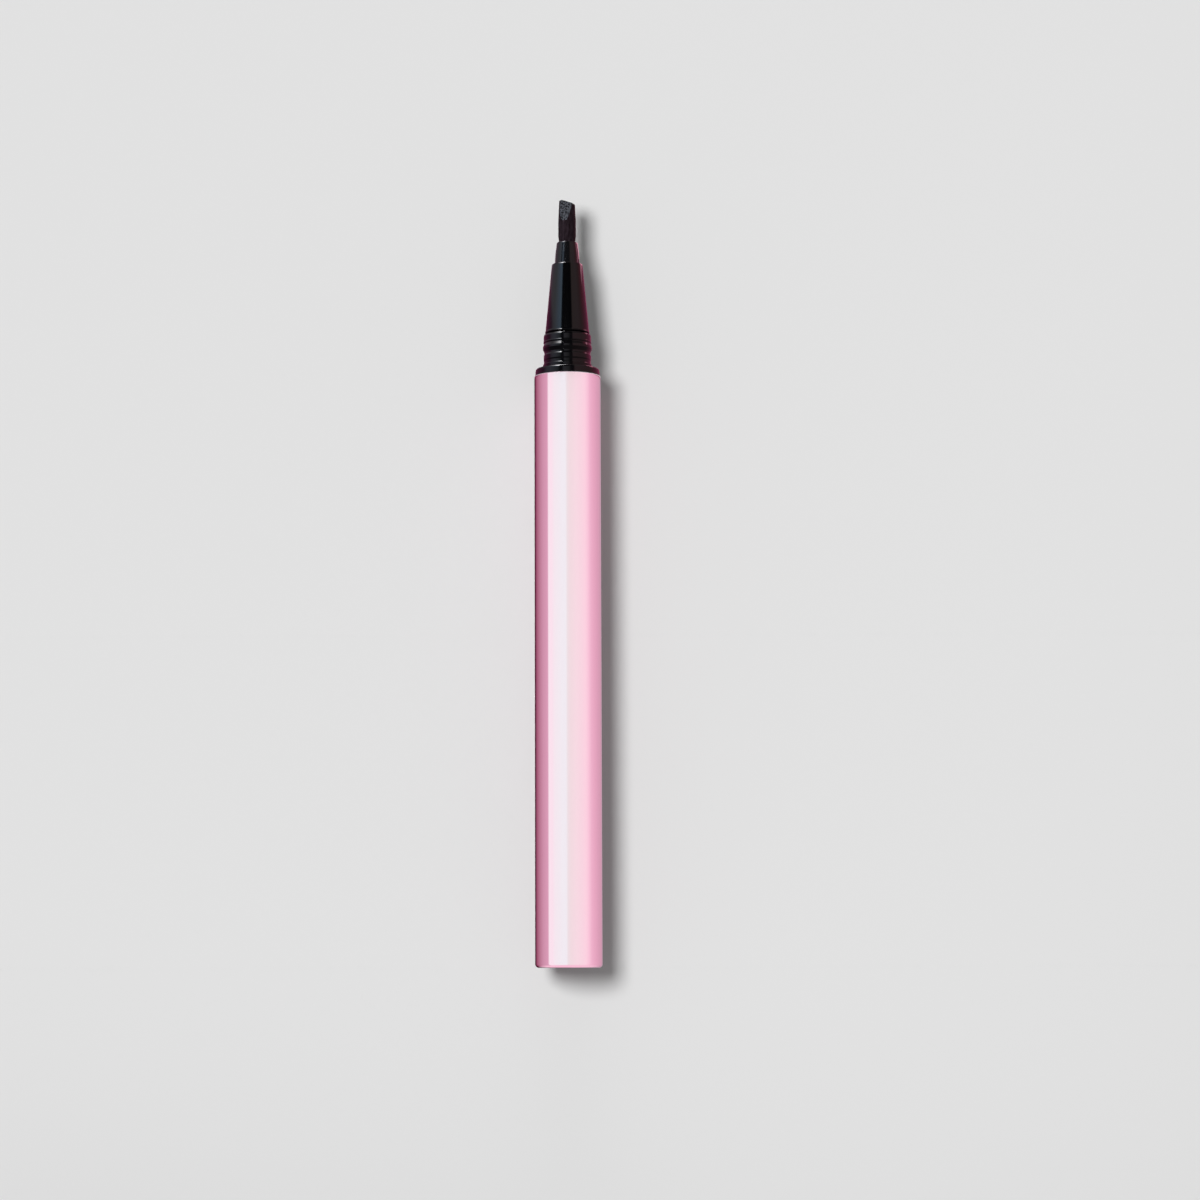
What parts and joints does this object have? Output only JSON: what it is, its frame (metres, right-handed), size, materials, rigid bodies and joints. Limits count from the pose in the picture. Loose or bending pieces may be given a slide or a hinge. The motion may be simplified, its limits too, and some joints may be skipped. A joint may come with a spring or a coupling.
{
  "type": "liquid eyeliner pen",
  "caption": "Slim liquid eyeliner pen with a glossy pink metal barrel, a black snap neck and cone, and an angled felt nib fed from an ink tank through a comb collector.",
  "frame": {"origin": "centre of the flat tail face, on the pen's axis", "axes": "+Z along the pen's axis from the tail to the nib, -Y towards the lighter cut face of the nib, -X towards the high end of its slanted edge"},
  "size_m": [0.011, 0.011, 0.1277],
  "materials": {
    "pink_barrel": "high-gloss pink metallic lacquer over drawn aluminium",
    "grey_foam": "closed-cell foam",
    "natural_plug": "natural polyethylene, waxy",
    "clear_tank": "frosted natural polypropylene",
    "steel_ball": "polished stainless steel",
    "black_gloss": "polished black injection moulding",
    "black_rubber": "moulded nitrile ring",
    "grey_gasket": "soft moulded elastomer",
    "ivory_comb": "etched ABS, ink-stained at the slit",
    "inked_fibre": "bonded polyester fibre soaked with ink",
    "black_holder": "black moulding with satin flutes",
    "charcoal_felt": "cut and ink-soaked bonded felt"
  },
  "bodies": {
    "pen": {"barrel_shell": "pink_barrel", "tail_pad": "grey_foam", "tank_plug": "natural_plug", "ink_tank": "clear_tank", "neck_coupling": "black_gloss", "neck_ring": "black_rubber", "collector_gasket": "grey_gasket", "collector": "ivory_comb", "relay_core": "inked_fibre", "front_cone": "black_gloss", "nib_holder": "black_holder", "nib": "charcoal_felt"},
    "ball": {"mixing_ball": "steel_ball"}
  },
  "joints": [
    {"name": "ball_travel", "type": "slide", "parent": "pen", "child": "ball", "axis": [0, 0, 1], "range_m": [0, 0.0665]}
  ]
}
